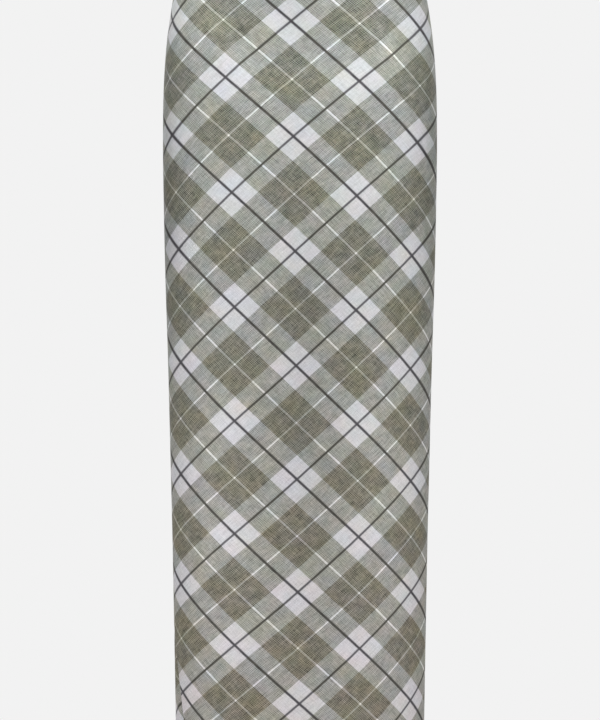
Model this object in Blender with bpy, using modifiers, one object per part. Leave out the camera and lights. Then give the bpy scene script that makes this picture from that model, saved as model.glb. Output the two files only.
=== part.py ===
"""Long narrow skirt of checked cloth, hollow and standing out as it is worn.

The origin is the middle of the waist opening, level with its top edge. +Z is up, the front faces -Y, and
+X is the wearer's left, where the zip is. Everything is in metres.

The skirt's form is a stack of level sections. Each panel is an open grid read from those sections, made
into cloth by a Solidify modifier that thickens it inwards.
"""

import math

import bmesh
import bpy
import numpy as np
from mathutils import Matrix, Vector

# The form of the skirt: one row for each level section, from the waist to the hem.
# height, half_width to the side seam, front_depth, back_depth, squareness of the front half
SECTIONS = (
    (0.000, 0.1338, 0.0890, 0.0880, 2.0),
    (-0.030, 0.1412, 0.0935, 0.0945, 2.0),
    (-0.066, 0.1512, 0.0978, 0.1030, 2.1),
    (-0.108, 0.1590, 0.1000, 0.1110, 2.2),
    (-0.145, 0.1642, 0.0965, 0.1180, 2.2),
    (-0.195, 0.1681, 0.0920, 0.1240, 2.1),
    (-0.270, 0.1695, 0.0870, 0.1210, 2.0),
    (-0.350, 0.1685, 0.0850, 0.1110, 2.0),
    (-0.440, 0.1665, 0.0830, 0.1030, 2.0),
    (-0.540, 0.1633, 0.0815, 0.0970, 2.0),
    (-0.650, 0.1605, 0.0805, 0.0930, 2.0),
    (-0.760, 0.1578, 0.0800, 0.0905, 2.0),
    (-0.870, 0.1557, 0.0810, 0.0895, 2.0),
    (-0.980, 0.1538, 0.0840, 0.0895, 2.0),
    (-1.014, 0.1534, 0.0850, 0.0895, 2.0),
)
BACK_SQUARENESS = 2.0
HEM_HEIGHT = SECTIONS[-1][0]

# Cloth
WALL = 0.0014
SEAM_GAP = 0.0003
SEAM_MARGIN = 0.00022
EDGE_COLUMNS = (0.0, 0.004, 0.012)
EVEN_COLUMNS = 28
PANEL_ROWS = 32
ROW_CROWDING = 1.15

# Waistband, of cloth folded double, that stands proud of the panels
BAND_HEIGHT = 0.030
BAND_PROUD = 0.0012
BAND_ROWS = 3
BAND_ZIP_GAP = 0.0020
BAND_SEAM_GAP = 0.0005

# Slit at the wearer's right side seam, where the front panel's edge curves forward
SLIT_TOP = -0.858
SLIT_OPENING = 0.034
SLIT_CURVE = 0.6

# Concealed zip in the wearer's left side seam
ZIP_LENGTH = 0.200
ZIP_TOP = -0.002
TAPE_THICKNESS = 0.0010
TAPE_SPACING = 0.0018
TAPE_COVER = 0.95
COIL_WIDTH = 0.0034
COIL_THICKNESS = 0.0018
COIL_DEPTH = 0.0034

# The zip's slider, measured along the wall from the axis of its eye
SLIDER_HEIGHT = -0.0085
SLIDER_ABOVE_AXIS = 0.0045
SLIDER_BELOW_AXIS = 0.0070
SLIDER_WIDTH = 0.0064
SLIDER_THICKNESS = 0.0030
SLIDER_ROUNDING = 0.0006
BRIDGE_WIDTH = 0.0012
EYE_STANDOFF = 0.0021
EYE_RADIUS = 0.0010
EYE_WALL = 0.0007
EYE_SIDES = 24

# The zip's pull tab
PULL_LENGTH = 0.018
PULL_WIDTH = 0.0052
PULL_THICKNESS = 0.0010
PULL_ROUNDING = 0.0003
PULL_LEAN_IN = math.radians(3.5)
PULL_WINDOW_WIDTH = 0.0020
PULL_WINDOW_LENGTH = 0.0016

# How finely a section is walked before its points are spaced out
SECTION_STEPS = 720

# Drops the height of a point
LEVEL = Vector((1.0, 1.0, 0.0))

# Finish of each material: colour, roughness, metallic
CHECK_CLOTH = ((0.34, 0.33, 0.28), 0.85, 0.0)
ZIP_CLOTH = ((0.27, 0.27, 0.23), 0.9, 0.0)
COIL_PLASTIC = ((0.25, 0.25, 0.21), 0.5, 0.0)
ZIP_METAL = ((0.52, 0.51, 0.48), 0.35, 1.0)


def section_column(column, height):
    """Read one column of SECTIONS at a height, smoothly, with the slopes of the neighbouring rows."""
    table = np.array(SECTIONS)[::-1]
    heights = table[:, 0]
    values = table[:, column]
    slopes = np.gradient(values, heights)
    place = float(np.clip(height, heights[0], heights[-1]))
    row = int(np.clip(np.searchsorted(heights, place) - 1, 0, len(heights) - 2))
    step = heights[row + 1] - heights[row]
    part = (place - heights[row]) / step
    rise = values[row + 1] - values[row]
    start_bend = slopes[row] * step - rise
    end_bend = rise - slopes[row + 1] * step
    return values[row] + part * rise + part * (1 - part) * ((1 - part) * start_bend + part * end_bend)


def half_width_at(height):
    """Distance from the middle to the side seam."""
    return section_column(1, height)


def half_section(height, side, outset):
    """Points of the front (-1) or back (+1) half, from the zip's side seam round to the other one."""
    half_width = half_width_at(height)
    depth = section_column(2 if side < 0 else 3, height)
    squareness = section_column(4, height) if side < 0 else BACK_SQUARENESS
    angles = np.linspace(0.0, math.pi, SECTION_STEPS + 1)
    across = np.cos(angles)
    outwards = np.sin(angles)
    x = half_width * np.sign(across) * np.abs(across) ** (2.0 / squareness)
    y = side * depth * np.abs(outwards) ** (2.0 / squareness)
    along_x = np.gradient(x)
    along_y = np.gradient(y)
    length = np.hypot(along_x, along_y)
    return x + side * along_y / length * outset, y - side * along_x / length * outset


def spaced_points(height, side, distances, outset=0.0):
    """Points of a half section at given distances along it."""
    x, y = half_section(height, side, outset)
    steps = np.hypot(np.diff(x), np.diff(y))
    walked = np.concatenate(([0.0], np.cumsum(steps)))
    return [(float(np.interp(s, walked, x)), float(np.interp(s, walked, y)), height) for s in distances]


def half_length(height, side, outset=0.0):
    """Length of a half section from seam to seam."""
    x, y = half_section(height, side, outset)
    return float(np.hypot(np.diff(x), np.diff(y)).sum())


def slit_opening_at(height):
    """How far the front panel's free edge has moved forward along the section."""
    if height >= SLIT_TOP:
        return 0.0
    return SLIT_OPENING * ((SLIT_TOP - height) / (SLIT_TOP - HEM_HEIGHT)) ** SLIT_CURVE


def panel_heights():
    """Heights of a panel's rows, closer together over the hip."""
    top = -BAND_HEIGHT - BAND_SEAM_GAP
    return [top + (HEM_HEIGHT - top) * (row / PANEL_ROWS) ** ROW_CROWDING for row in range(PANEL_ROWS + 1)]


def column_distances(height, side, near_margin, far_margin, outset=0.0):
    """Distances of the columns along a half section: narrow ones at both edges and even ones between."""
    far_edge = half_length(height, side, outset) - far_margin
    near = [near_margin + step for step in EDGE_COLUMNS]
    far = [far_edge - step for step in reversed(EDGE_COLUMNS)]
    even = np.linspace(near[-1], far[0], EVEN_COLUMNS + 1)
    return near[:-1] + list(even) + far[1:]


def panel_row(height, side):
    """One row of points across the front (-1) or back (+1) panel."""
    slit = slit_opening_at(height) if side < 0 else 0.0
    distances = column_distances(height, side, SEAM_MARGIN, SEAM_MARGIN + slit)
    return spaced_points(height, side, distances)


def band_row(height):
    """One row of points round the waistband, from the zip round the front and the back to the zip."""
    rows = []
    for side in (-1, 1):
        distances = column_distances(height, side, BAND_ZIP_GAP / 2, 0.0, BAND_PROUD)
        rows.append(spaced_points(height, side, distances, BAND_PROUD))
    front, back = rows
    return front + back[-2::-1]


def collection_named(name):
    """A new collection in the scene."""
    collection = bpy.data.collections.new(name)
    bpy.context.scene.collection.children.link(collection)
    return collection


def finish_material(name, finish):
    """A Principled material from a colour, a roughness and a metallic value."""
    colour, roughness, metallic = finish
    material = bpy.data.materials.new(name)
    material.use_nodes = True
    shader = material.node_tree.nodes["Principled BSDF"]
    shader.inputs["Base Color"].default_value = (*colour, 1.0)
    shader.inputs["Roughness"].default_value = roughness
    shader.inputs["Metallic"].default_value = metallic
    material.diffuse_color = (*colour, 1.0)
    return material


def mesh_object(name, mesh, collection, material):
    """Put a mesh in the scene as a named object."""
    thing = bpy.data.objects.new(name, mesh)
    collection.objects.link(thing)
    mesh.materials.append(material)
    return thing


def grid_object(name, rows, collection, material):
    """An open sheet through rows of points, with its faces turned away from the skirt's middle."""
    mesh = bpy.data.meshes.new(name)
    build = bmesh.new()
    lines = [[build.verts.new(point) for point in row] for row in rows]
    for upper, lower in zip(lines, lines[1:]):
        for start, end, low_end, low_start in zip(upper, upper[1:], lower[1:], lower):
            build.faces.new((start, end, low_end, low_start))
    build.normal_update()
    if sum(face.normal.dot(face.calc_center_median() * LEVEL) for face in build.faces) < 0:
        bmesh.ops.reverse_faces(build, faces=build.faces)
    for face in build.faces:
        face.smooth = True
    build.to_mesh(mesh)
    build.free()
    return mesh_object(name, mesh, collection, material)


def thicken_inwards(sheet, thickness, depth=0.0):
    """Make a sheet into cloth, whose outer face lies the given depth under the sheet."""
    solidify = sheet.modifiers.new("Cloth", "SOLIDIFY")
    solidify.thickness = thickness
    solidify.offset = -1.0 - 2.0 * depth / thickness
    solidify.use_even_offset = True


def wall_tilt():
    """Lean of the band's wall at the zip, as a turn about Y."""
    return -math.atan((half_width_at(-BAND_HEIGHT) - half_width_at(0.0)) / BAND_HEIGHT)


def place_on_wall(thing, turn):
    """Set a zip piece on the wall at the slider's height, turned to lie along it."""
    thing.location = (half_width_at(SLIDER_HEIGHT), 0.0, SLIDER_HEIGHT)
    thing.rotation_euler = (0.0, turn, 0.0)


def block(name, low, high, collection, material):
    """A box between two corners, measured from its own origin."""
    mesh = bpy.data.meshes.new(name)
    build = bmesh.new()
    bmesh.ops.create_cube(build, size=1.0)
    size = Vector(high) - Vector(low)
    middle = (Vector(high) + Vector(low)) / 2
    bmesh.ops.scale(build, vec=size, verts=build.verts)
    bmesh.ops.translate(build, vec=middle, verts=build.verts)
    build.to_mesh(mesh)
    build.free()
    return mesh_object(name, mesh, collection, material)


def disc_along_y(name, radius, width, middle, collection, material):
    """A round piece whose axis runs along Y, measured from its own origin."""
    mesh = bpy.data.meshes.new(name)
    build = bmesh.new()
    bmesh.ops.create_cone(build, cap_ends=True, segments=EYE_SIDES, radius1=radius, radius2=radius, depth=width)
    bmesh.ops.rotate(build, verts=build.verts, matrix=Matrix.Rotation(math.pi / 2, 3, "X"))
    bmesh.ops.translate(build, vec=middle, verts=build.verts)
    build.to_mesh(mesh)
    build.free()
    return mesh_object(name, mesh, collection, material)


def boolean(thing, other, operation):
    """Join another object to this one, or cut it away."""
    modifier = thing.modifiers.new(other.name, "BOOLEAN")
    modifier.operation = operation
    modifier.solver = "EXACT"
    modifier.object = other


def make_guide(thing):
    """Mark an object as a cutter, which isn't a piece of the skirt."""
    thing.hide_render = True
    thing.display_type = "WIRE"


def round_edges(thing, width):
    """A small bevel on every edge."""
    bevel = thing.modifiers.new("Rounding", "BEVEL")
    bevel.width = width
    bevel.segments = 2
    bevel.limit_method = "ANGLE"


def build_panels(collection, cloth):
    """The front panel, with its edge free along the slit, and the back panel."""
    for name, side in (("front_panel", -1), ("back_panel", 1)):
        sheet = grid_object(name, [panel_row(height, side) for height in panel_heights()], collection, cloth)
        thicken_inwards(sheet, WALL)


def build_waistband(collection, cloth):
    """The band round the waist, open at the zip."""
    heights = np.linspace(0.0, -BAND_HEIGHT, BAND_ROWS)
    sheet = grid_object("waistband", [band_row(float(height)) for height in heights], collection, cloth)
    thicken_inwards(sheet, WALL + BAND_PROUD)


def zip_heights():
    """Heights of the zip tape's rows: the band's own, then the panels' down to the zip's end."""
    foot = ZIP_TOP - ZIP_LENGTH
    beside_band = [ZIP_TOP, -BAND_HEIGHT / 2, -BAND_HEIGHT]
    return beside_band + [height for height in panel_heights()[1:] if height > foot]


def build_zip_tapes(collection, cloth):
    """A tape behind each panel's edge, made from the points of the panel's narrow columns."""
    seam_columns = [SEAM_MARGIN + step for step in EDGE_COLUMNS]
    for name, side in (("zip_tape_front", -1), ("zip_tape_back", 1)):
        rows = []
        for height in zip_heights():
            edge, bend, inner = np.array(spaced_points(height, side, seam_columns))
            near = edge + (bend - edge) * TAPE_SPACING / 2 / EDGE_COLUMNS[1]
            far = bend + (inner - bend) * TAPE_COVER
            rows.append([tuple(near), tuple(bend), tuple(far)])
        sheet = grid_object(name, rows, collection, cloth)
        thicken_inwards(sheet, TAPE_THICKNESS, WALL + SEAM_GAP)


def build_zip_coil(collection, plastic):
    """The closed coil, a flat bar behind the seam from the slider down to the zip's end."""
    top = SLIDER_HEIGHT - SLIDER_BELOW_AXIS - SEAM_GAP
    heights = [top] + [height for height in zip_heights() if height < top]
    edges = (-COIL_WIDTH / 2, COIL_WIDTH / 2)
    rows = [[(half_width_at(height), y, height) for y in edges] for height in heights]
    sheet = grid_object("zip_coil", rows, collection, plastic)
    thicken_inwards(sheet, COIL_THICKNESS, COIL_DEPTH)


def build_zip_slider(collection, guides, metal):
    """The slider's body behind the band, and its bridge and eye, which pass out between the band's ends."""
    axis = (BAND_PROUD + EYE_STANDOFF, 0.0, 0.0)
    eye_outer = EYE_RADIUS + EYE_WALL
    back = -COIL_DEPTH - SLIDER_THICKNESS
    slider = block("zip_slider", (back, -SLIDER_WIDTH / 2, -SLIDER_BELOW_AXIS),
                   (-COIL_DEPTH, SLIDER_WIDTH / 2, SLIDER_ABOVE_AXIS), collection, metal)
    round_edges(slider, SLIDER_ROUNDING)
    bridge = block("bridge", (back / 2 - COIL_DEPTH / 2, -BRIDGE_WIDTH / 2, -eye_outer),
                   (axis[0], BRIDGE_WIDTH / 2, eye_outer), guides, metal)
    eye = disc_along_y("eye", eye_outer, BRIDGE_WIDTH, axis, guides, metal)
    hole = disc_along_y("eye_hole", EYE_RADIUS, SLIDER_WIDTH, axis, guides, metal)
    for thing in (slider, bridge, eye, hole):
        place_on_wall(thing, wall_tilt())
    for guide in (bridge, eye, hole):
        make_guide(guide)
    boolean(slider, bridge, "UNION")
    boolean(slider, eye, "UNION")
    boolean(slider, hole, "DIFFERENCE")


def build_zip_pull(collection, guides, metal):
    """The pull tab, a plate with a window at its top, hanging on the slider's eye against the band."""
    half_bar = PULL_THICKNESS / 2
    standoff = BAND_PROUD + EYE_STANDOFF
    pull = block("zip_pull", (-half_bar, -PULL_WIDTH / 2, half_bar - PULL_LENGTH),
                 (half_bar, PULL_WIDTH / 2, half_bar), collection, metal)
    window = block("pull_window", (-PULL_WIDTH, -PULL_WINDOW_WIDTH / 2, -half_bar - PULL_WINDOW_LENGTH),
                   (PULL_WIDTH, PULL_WINDOW_WIDTH / 2, -half_bar), guides, metal)
    axis_place = Vector((half_width_at(SLIDER_HEIGHT), 0.0, SLIDER_HEIGHT))
    axis_place += Matrix.Rotation(wall_tilt(), 3, "Y") @ Vector((standoff, 0.0, 0.0))
    for thing in (pull, window):
        thing.location = axis_place
        thing.rotation_euler = (0.0, wall_tilt() + PULL_LEAN_IN, 0.0)
    make_guide(window)
    boolean(pull, window, "DIFFERENCE")
    round_edges(pull, PULL_ROUNDING)


def clear_scene():
    """Remove whatever the opened scene holds."""
    for thing in list(bpy.data.objects):
        bpy.data.objects.remove(thing, do_unlink=True)


def main():
    """Build the skirt."""
    clear_scene()
    skirt = collection_named("Skirt")
    guides = collection_named("Cutters")
    cloth = finish_material("check_cloth", CHECK_CLOTH)
    metal = finish_material("zip_metal", ZIP_METAL)
    build_panels(skirt, cloth)
    build_waistband(skirt, cloth)
    build_zip_tapes(skirt, finish_material("zip_tape_cloth", ZIP_CLOTH))
    build_zip_coil(skirt, finish_material("coil_plastic", COIL_PLASTIC))
    build_zip_slider(skirt, guides, metal)
    build_zip_pull(skirt, guides, metal)


main()
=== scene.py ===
"""Long narrow bias-cut skirt in a pale grey and olive check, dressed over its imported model.

The origin is the middle of the waist opening, level with its top edge. +Z is up, the front faces -Y, and
+X is the wearer's left, where the zip is. Everything is in metres.

A place on the cloth is given by its side (-1 front, +1 back), its height, its distance from the centre
line along the level (towards +X), and its depth under the outer face.
"""

import math

import bmesh
import bpy
import numpy as np
from mathutils import Matrix, Vector


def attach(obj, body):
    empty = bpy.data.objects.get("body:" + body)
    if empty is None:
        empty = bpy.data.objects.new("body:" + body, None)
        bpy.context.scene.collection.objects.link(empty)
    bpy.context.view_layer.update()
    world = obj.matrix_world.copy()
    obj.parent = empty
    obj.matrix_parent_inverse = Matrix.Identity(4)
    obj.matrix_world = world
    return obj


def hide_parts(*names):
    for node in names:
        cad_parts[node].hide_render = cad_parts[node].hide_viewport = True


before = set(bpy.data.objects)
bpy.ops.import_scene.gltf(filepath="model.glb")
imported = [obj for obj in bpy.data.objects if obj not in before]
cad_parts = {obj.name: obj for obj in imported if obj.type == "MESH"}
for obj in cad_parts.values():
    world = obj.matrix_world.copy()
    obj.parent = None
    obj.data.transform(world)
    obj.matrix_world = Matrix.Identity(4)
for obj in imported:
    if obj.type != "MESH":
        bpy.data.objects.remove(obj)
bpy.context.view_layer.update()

# The form of the skirt: one row for each level, from the waist to the hem.
# height, half_width to the side seam, front_depth, back_depth, squareness of the front half
LEVELS = (
    (0.000, 0.1338, 0.0890, 0.0880, 2.0),
    (-0.030, 0.1412, 0.0935, 0.0945, 2.0),
    (-0.066, 0.1512, 0.0978, 0.1030, 2.1),
    (-0.108, 0.1590, 0.1000, 0.1110, 2.2),
    (-0.145, 0.1642, 0.0965, 0.1180, 2.2),
    (-0.195, 0.1681, 0.0920, 0.1240, 2.1),
    (-0.270, 0.1695, 0.0870, 0.1210, 2.0),
    (-0.350, 0.1685, 0.0850, 0.1110, 2.0),
    (-0.440, 0.1665, 0.0830, 0.1030, 2.0),
    (-0.540, 0.1633, 0.0815, 0.0970, 2.0),
    (-0.650, 0.1605, 0.0805, 0.0930, 2.0),
    (-0.760, 0.1578, 0.0800, 0.0905, 2.0),
    (-0.870, 0.1557, 0.0810, 0.0895, 2.0),
    (-0.980, 0.1538, 0.0840, 0.0895, 2.0),
    (-1.014, 0.1534, 0.0850, 0.0895, 2.0),
)
HALF_WIDTH, FRONT_DEPTH, BACK_DEPTH, SQUARENESS = 1, 2, 3, 4
FRONT, BACK = -1, 1
HEM = LEVELS[-1][0]
BAND_FOOT = -0.030
ARC_STEPS = 720

# Cloth and its folds
CLOTH = 0.0007
FOLD_RADIUS = 0.00085
FOLD_TURNS = 6
TURNED_DEPTH = 2 * FOLD_RADIUS
SEAM_MARGIN = 0.00010
ALLOWANCE = 0.013
HEM_TURN = 0.030

# The allowances are pressed flatter where they go under the band
PRESSED = 0.44
PRESSED_FROM = 0.010
PRESSED_RUN = 0.006

# Rows of a panel: from this height on, the distance between rows
ROW_STEPS = ((-0.022, 0.0036), (-0.095, 0.0021), (-0.190, 0.0043))
HEM_STEPS = (0.004, 0.009, 0.015, 0.022, HEM_TURN)

# Columns of a panel: steps in from its edge on the allowance and on the face, steps beside a dart, and the
# number of spaces before each dart and after the last one
ALLOWANCE_STEPS = (0.003, 0.006, 0.0095, ALLOWANCE)
FACE_STEPS = (0.0016, 0.0030, 0.0055, 0.0090)
DART_STEPS = (0.0, 0.0008, 0.0016, 0.0028, 0.0050, 0.0074, 0.0100, 0.0126, 0.0152, 0.0180)
PANEL_SPACES = (22, 32, 22)

# The allowances end this far above the turned-up hem
ALLOWANCE_ABOVE_HEM = 0.003

# The worn cloth lies a little inside the even form below the band
SETTLED = 0.0005
SETTLED_RUN = 0.040

# Slit at the wearer's right side seam, where the front panel's edge curves forward
SLIT_TOP = -0.858
SLIT_OPENING = 0.040
SLIT_CURVE = 0.68

# The back panel reaches forward under the slit's edge, and sinks beneath it as it goes
UNDERLAP = 0.012
UNDERLAP_RISE = 0.012
SINK_RISE = 0.030
SINK = 0.0024
SINK_RUN = 0.009
SINK_CLEAR = 0.0007

# Darts: side, distance from the centre line, height of the tip, cloth taken in at the band
DARTS = (
    (FRONT, -0.0680, -0.103, 0.011),
    (FRONT, 0.0680, -0.103, 0.011),
    (BACK, -0.0760, -0.165, 0.017),
    (BACK, 0.0760, -0.165, 0.017),
)
DART_GROOVE = 0.0010
DART_GROOVE_WIDTH = 0.0009
DART_SHOULDER = 0.0007
DART_SHOULDER_WIDTH = 0.006
DART_FADE = 0.018

# The pucker and the swell at a dart's tip: height, reach across, level from the tip, reach up
DART_TIP_FORMS = (
    (-0.0011, 0.0075, -0.004, 0.008),
    (0.0009, 0.016, -0.024, 0.016),
)

# The band's seam holds a dart's groove shallow
DART_HELD = 0.68
DART_HELD_FROM = -0.03765
DART_HELD_RUN = 0.0045

# The check: level, distance between neighbouring crossings, how far the middle one is off centre
CHECK_ACROSS = (
    (0.000, 0.0840, -0.0130),
    (-0.1358, 0.0827, -0.0110),
    (-0.2030, 0.0814, -0.0097),
    (-0.2713, 0.0788, -0.0082),
    (-0.3400, 0.0761, -0.0070),
    (-0.4088, 0.0745, -0.0061),
    (-0.4780, 0.0739, -0.0056),
    (-0.5467, 0.0739, -0.0050),
    (-0.6155, 0.0744, -0.0047),
    (-0.6837, 0.0748, -0.0040),
    (-0.7517, 0.0754, -0.0036),
    (-0.8191, 0.0758, -0.0030),
    (-0.8860, 0.0759, -0.0027),
    (-0.9518, 0.0757, -0.0013),
    (-1.0140, 0.0755, -0.0005),
)
CHECK_MIDDLE = -0.55
CHECK_SPAN = 0.4
CHECK_REACH = 0.16
CHECK_REACH_MOST = 1.08
BACK_CHECK_SHIFT = (0.10, 0.49)

# Rows of the check, and the small smooth shifts, in mm, that set it where the photo shows it on the front.
# Each term has its power of the share across, its power of the share up, and its amount
CHECK_ROWS = (
    (0, 0, 3.02205), (0, 1, -2.91784), (0, 2, 0.0208), (0, 3, -0.01898),
    (1, 0, -0.03382), (1, 1, -0.00313), (2, 0, 0.00245), (2, 1, 0.00336), (2, 2, 0.02181),
)
SHIFT_ACROSS = (
    (0, 0, -0.208), (0, 1, 0.098), (0, 2, -0.115), (1, 0, 0.665), (1, 1, 1.312), (1, 2, -0.585),
    (2, 0, 2.872), (2, 1, -3.766), (3, 0, -1.139), (3, 1, -3.620),
)
SHIFT_UP = (
    (0, 0, -0.095), (0, 1, -0.258), (0, 2, -0.007), (1, 0, -0.833), (1, 1, 0.041), (1, 2, 0.662),
    (2, 0, 0.451), (2, 1, 0.655), (3, 0, 0.637), (3, 1, -0.274),
)


def ease(value):
    """0 to 1 with a soft start and end."""
    part = np.clip(value, 0.0, 1.0)
    return part * part * (3.0 - 2.0 * part)


def mound(across, up, middle, level, reach, rise):
    """A smooth mound of height 1 round a place."""
    return np.exp(-((across - middle) / reach) ** 2 - ((up - level) / rise) ** 2)


def sum_terms(terms, v, t):
    """The sum of terms with their powers of the share across and the share up."""
    return sum(amount * v ** across * t ** up for across, up, amount in terms)


def read_table(table, column, places):
    """Read one column of a table at many places, smoothly, with the slopes of the neighbouring rows."""
    rows = np.array(table)[::-1]
    known = rows[:, 0]
    values = rows[:, column]
    slopes = np.gradient(values, known)
    place = np.clip(places, known[0], known[-1])
    row = np.clip(np.searchsorted(known, place) - 1, 0, len(known) - 2)
    step = known[row + 1] - known[row]
    part = (place - known[row]) / step
    rise = values[row + 1] - values[row]
    start_bend = slopes[row] * step - rise
    end_bend = rise - slopes[row + 1] * step
    return values[row] + part * rise + part * (1 - part) * ((1 - part) * start_bend + part * end_bend)


def half_form(side, heights):
    """The front or back half of the form at each height: points, outward directions, distances walked."""
    width = read_table(LEVELS, HALF_WIDTH, heights)[:, None]
    depth = read_table(LEVELS, FRONT_DEPTH if side == FRONT else BACK_DEPTH, heights)[:, None]
    squareness = read_table(LEVELS, SQUARENESS, heights)[:, None] if side == FRONT else 2.0
    angles = np.linspace(0.0, math.pi, ARC_STEPS + 1)[None, :]
    across = np.cos(angles)
    outwards = np.sin(angles)
    x = width * np.sign(across) * np.abs(across) ** (2.0 / squareness)
    y = side * depth * np.abs(outwards) ** (2.0 / squareness)
    along_x = np.gradient(x, axis=1)
    along_y = np.gradient(y, axis=1)
    along_x[:, [0, -1]] = 0.0
    length = np.hypot(along_x, along_y)
    steps = np.hypot(np.diff(x, axis=1), np.diff(y, axis=1))
    walked = np.concatenate((np.zeros((len(heights), 1)), np.cumsum(steps, axis=1)), axis=1)
    return x, y, side * along_y / length, -side * along_x / length, walked


def seam_distance(side, heights):
    """Distance from the centre line to the side seam along the level, at each height."""
    return half_form(side, heights)[4][:, -1] / 2


def wall_points(side, heights, from_centre, depth):
    """Points on the form, in rows, each row at its own height."""
    x, y, facing_x, facing_y, walked = half_form(side, heights)
    centre = walked[:, -1] / 2
    if side == BACK:
        others = half_form(FRONT, heights)
        x, y, facing_x, facing_y = (
            np.concatenate((near, far[:, -2::-1]), axis=1)
            for near, far in zip((x, y, facing_x, facing_y), others[:4])
        )
        beyond = walked[:, -1:] + others[4][:, -1:] - others[4][:, -2::-1]
        walked = np.concatenate((walked, beyond), axis=1)
    points = np.empty((*from_centre.shape, 3))
    for row, height in enumerate(heights):
        place = centre[row] - from_centre[row]
        out_x = np.interp(place, walked[row], facing_x[row])
        out_y = np.interp(place, walked[row], facing_y[row])
        size = np.hypot(out_x, out_y)
        points[row, :, 0] = np.interp(place, walked[row], x[row]) - out_x / size * depth[row]
        points[row, :, 1] = np.interp(place, walked[row], y[row]) - out_y / size * depth[row]
        points[row, :, 2] = height
    return points


def slit_opening(heights):
    """How far the front panel's free edge has moved forward along the level."""
    below = np.clip((SLIT_TOP - heights) / (SLIT_TOP - HEM), 0.0, 1.0)
    return SLIT_OPENING * below ** SLIT_CURVE


# Broad swells of the worn cloth: distance from centre, height, reach across, reach up, height of the swell
FRONT_SWELLS = (
    (0.010, -0.620, 0.034, 0.230, -0.0026),
    (-0.088, -0.560, 0.030, 0.260, 0.0014),
    (0.088, -0.540, 0.030, 0.280, 0.0014),
    (0.000, -0.175, 0.045, 0.050, -0.0012),
    (-0.098, -0.150, 0.022, 0.030, 0.0010),
    (0.094, -0.165, 0.026, 0.050, 0.0014),
)
BACK_SWELLS = (
    (0.000, -0.420, 0.030, 0.170, -0.0034),
    (-0.080, -0.260, 0.050, 0.080, 0.0016),
    (0.084, -0.255, 0.050, 0.080, 0.0016),
    (0.000, -0.720, 0.050, 0.160, -0.0014),
)

# Creases: a path of (distance from centre, height), half width, how high a ridge (a trough is negative)
FRONT_CREASES = (
    (((-0.074, -0.545), (-0.010, -0.620), (0.056, -0.698)), 0.011, -0.0013),
    (((-0.030, -0.428), (0.012, -0.480), (0.038, -0.532)), 0.010, -0.0010),
    (((-0.043, -0.745), (0.012, -0.768), (0.068, -0.782)), 0.010, -0.0010),
    (((-0.018, -0.853), (0.024, -0.896), (0.062, -0.938)), 0.011, -0.0010),
    (((-0.132, -0.112), (-0.082, -0.172), (-0.012, -0.230)), 0.014, 0.0017),
    (((0.078, -0.106), (0.106, -0.165), (0.146, -0.232)), 0.013, 0.0017),
    (((-0.077, -0.130), (-0.067, -0.147), (-0.055, -0.134)), 0.0042, -0.0022),
    (((0.054, -0.163), (0.069, -0.149), (0.085, -0.164)), 0.0030, -0.0019),
    (((0.060, -0.170), (0.069, -0.178), (0.080, -0.170)), 0.0036, -0.0013),
)
BACK_CREASES = (
    (((-0.110, -0.330), (-0.050, -0.372), (0.030, -0.384)), 0.011, -0.0013),
    (((0.120, -0.345), (0.062, -0.404), (-0.020, -0.420)), 0.012, -0.0012),
    (((-0.096, -0.640), (-0.030, -0.702), (0.044, -0.742)), 0.013, -0.0011),
    (((0.100, -0.800), (0.040, -0.842), (-0.050, -0.856)), 0.013, -0.0010),
    (((-0.150, -0.905), (-0.104, -0.950), (-0.070, -1.010)), 0.012, -0.0012),
)
PATH_STEPS = 20
RIDGE_BESIDE = 0.45
RIDGE_AWAY = 1.7

# A crease fades out at its ends, is uneven along its path, as strength and turns, and widens towards its end
CREASE_ENDS = (0.02, 0.98)
CREASE_FADE = 0.8
UNEVEN_SLOW = (0.22, 11.0)
UNEVEN_FAST = (0.12, 23.0)
UNEVEN_START = 40.0
WIDE_FROM, WIDE_GAIN = 0.85, 0.30


def smooth_path(points):
    """A smooth path through three points, as many points."""
    start, through, end = np.array(points)
    control = 2 * through - (start + end) / 2
    part = np.linspace(0.0, 1.0, PATH_STEPS + 1)[:, None]
    return (1 - part) ** 2 * start + 2 * part * (1 - part) * control + part ** 2 * end


def crease_height(points, width, height, across, up):
    """Height of one crease at many places: a trough with a soft ridge along its upper side, or a ridge."""
    path = smooth_path(points)
    nearest = np.full(across.shape, np.inf)
    away = np.zeros(across.shape)
    along = np.zeros(across.shape)
    for step, (start, end) in enumerate(zip(path[:-1], path[1:])):
        run = end - start
        size = math.hypot(*run)
        part = np.clip(((across - start[0]) * run[0] + (up - start[1]) * run[1]) / size ** 2, 0.0, 1.0)
        gap_across = across - start[0] - part * run[0]
        gap_up = up - start[1] - part * run[1]
        gap = np.hypot(gap_across, gap_up)
        closer = gap < nearest
        nearest = np.where(closer, gap, nearest)
        turn = np.sign(run[0] * gap_up - run[1] * gap_across)
        away = np.where(closer, gap * turn, away)
        along = np.where(closer, (step + part) / PATH_STEPS, along)
    fade = np.sin(math.pi * np.clip(along, *CREASE_ENDS)) ** CREASE_FADE
    uneven = 1.0 + UNEVEN_SLOW[0] * np.sin(UNEVEN_SLOW[1] * along + UNEVEN_START * points[0][0])
    uneven += UNEVEN_FAST[0] * np.sin(UNEVEN_FAST[1] * along)
    wide = width * (WIDE_FROM + WIDE_GAIN * along)
    trough = np.exp(-(nearest / wide) ** 2)
    ridge = RIDGE_BESIDE * np.exp(-((away - RIDGE_AWAY * wide) / wide) ** 2)
    return height * fade * uneven * (trough - ridge)


def creases_height(side, across, up):
    """Height of all the creases of a panel."""
    creases = FRONT_CREASES if side == FRONT else BACK_CREASES
    return sum(crease_height(points, width, height, across, up) for points, width, height in creases)


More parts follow.
